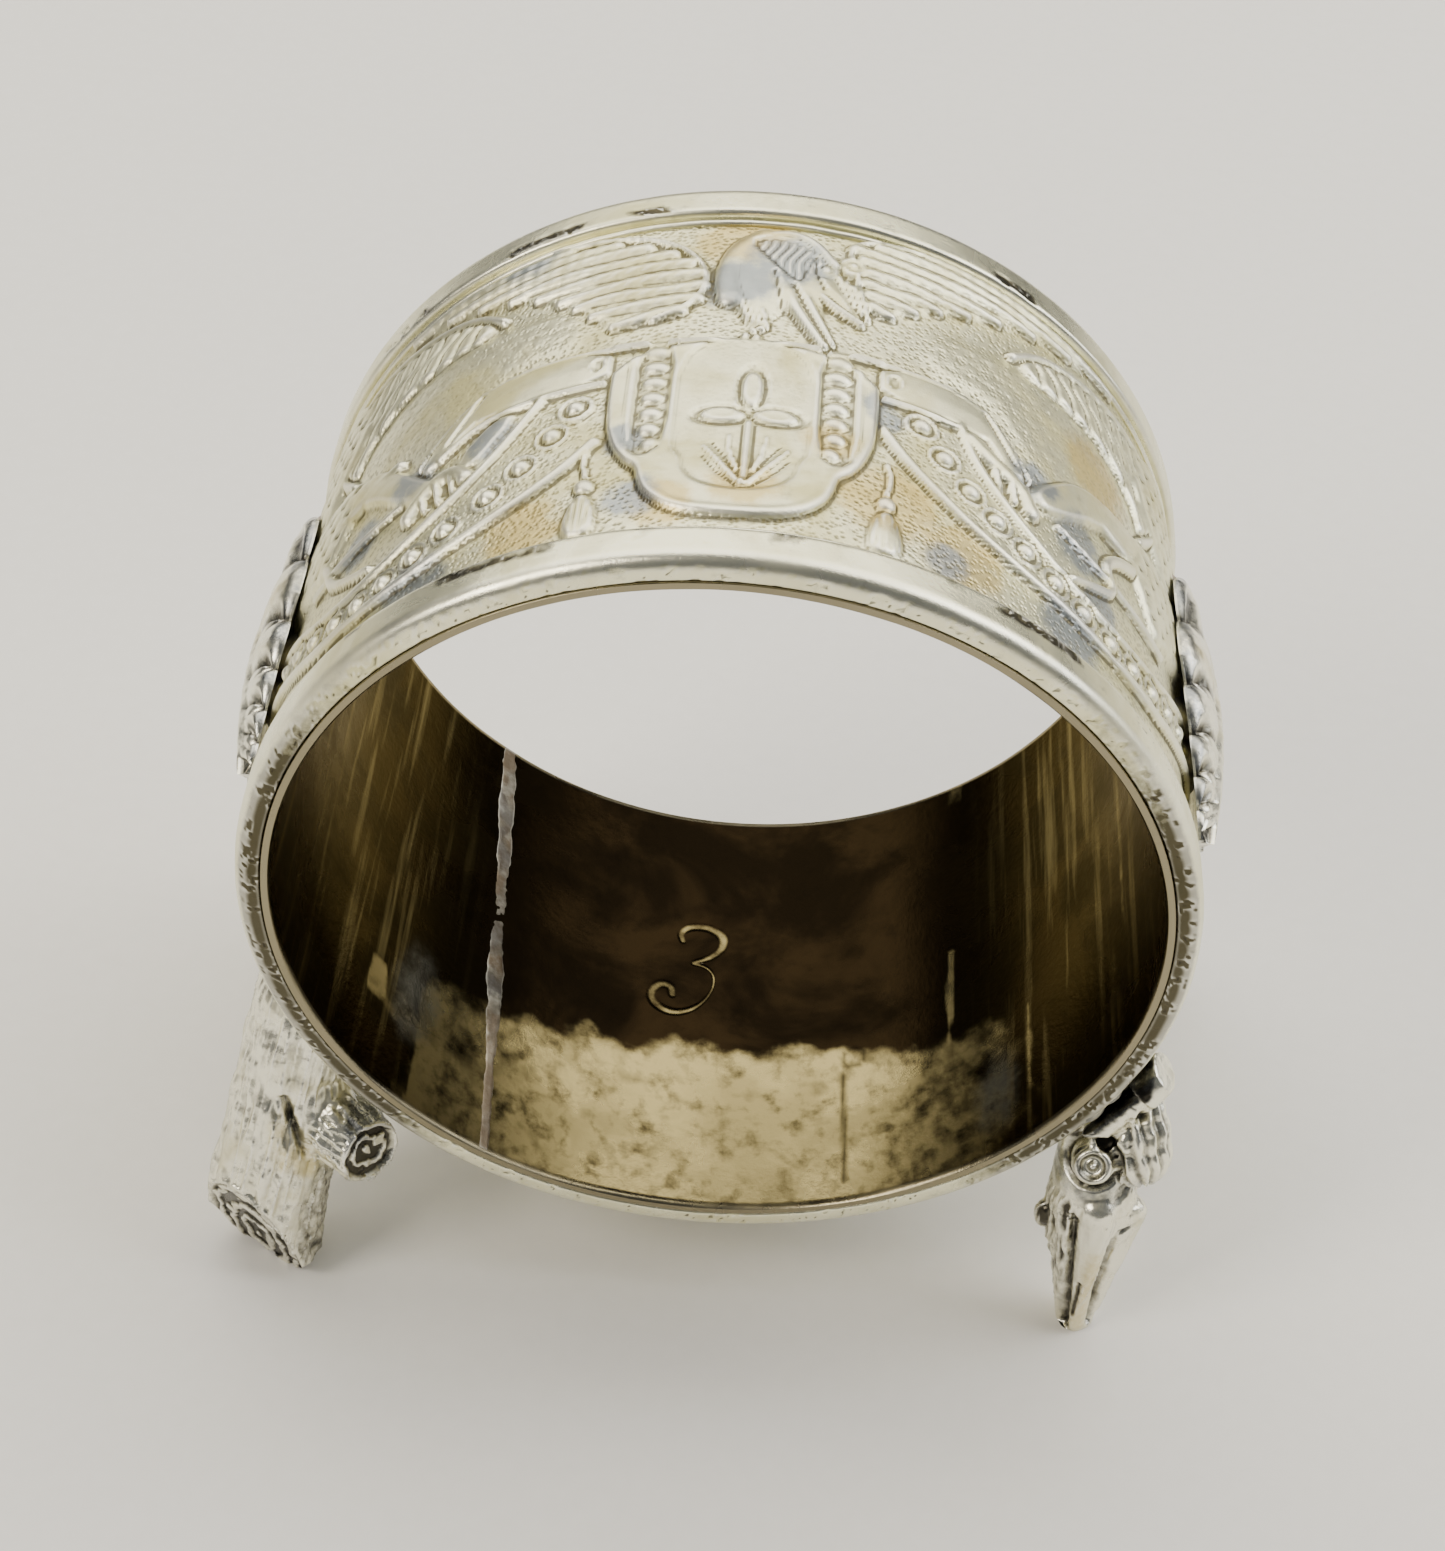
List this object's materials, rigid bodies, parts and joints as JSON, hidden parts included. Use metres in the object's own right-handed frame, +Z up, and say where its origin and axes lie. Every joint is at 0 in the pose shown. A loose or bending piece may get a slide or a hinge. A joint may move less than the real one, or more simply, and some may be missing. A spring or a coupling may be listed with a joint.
{
  "type": "napkin ring",
  "caption": "Tarnished silver-plated figural napkin ring: chased band with plain rims, cast leaves at the sides and cast twig feet, numbered inside; doubles as a numbered table marker.",
  "frame": {"origin": "on the surface that the feet stand on, under the middle of the ring", "axes": "+Z up, Y along the ring's axis, the front end and its numeral read from -Y, +X to the right seen from the front"},
  "size_m": [0.053, 0.032, 0.051],
  "materials": {
    "chased_silver_plate": "worn, tarnished silver plate over Britannia metal, chased relief with stippled ground",
    "turned_silver_plate": "worn silver plate, turned and burnished, small pits",
    "cast_silver_plate": "silver-plated casting with bark texture, dark in the recesses",
    "soft_solder": "grey soft solder, plated over and blued with tarnish"
  },
  "bodies": {
    "root": {"band": "chased_silver_plate", "front_rim": "turned_silver_plate", "rear_rim": "turned_silver_plate", "front_left_log_foot": "cast_silver_plate", "rear_right_log_foot": "cast_silver_plate", "front_right_twig_foot": "cast_silver_plate", "rear_left_twig_foot": "cast_silver_plate", "left_leaf": "cast_silver_plate", "right_leaf": "cast_silver_plate", "front_rim_solder": "soft_solder", "rear_rim_solder": "soft_solder", "left_leaf_solder": "soft_solder", "right_leaf_solder": "soft_solder", "front_left_foot_solder": "soft_solder", "rear_right_foot_solder": "soft_solder", "front_right_foot_solder": "soft_solder", "rear_left_foot_solder": "soft_solder", "band_seam_solder": "soft_solder"}
  },
  "joints": []
}
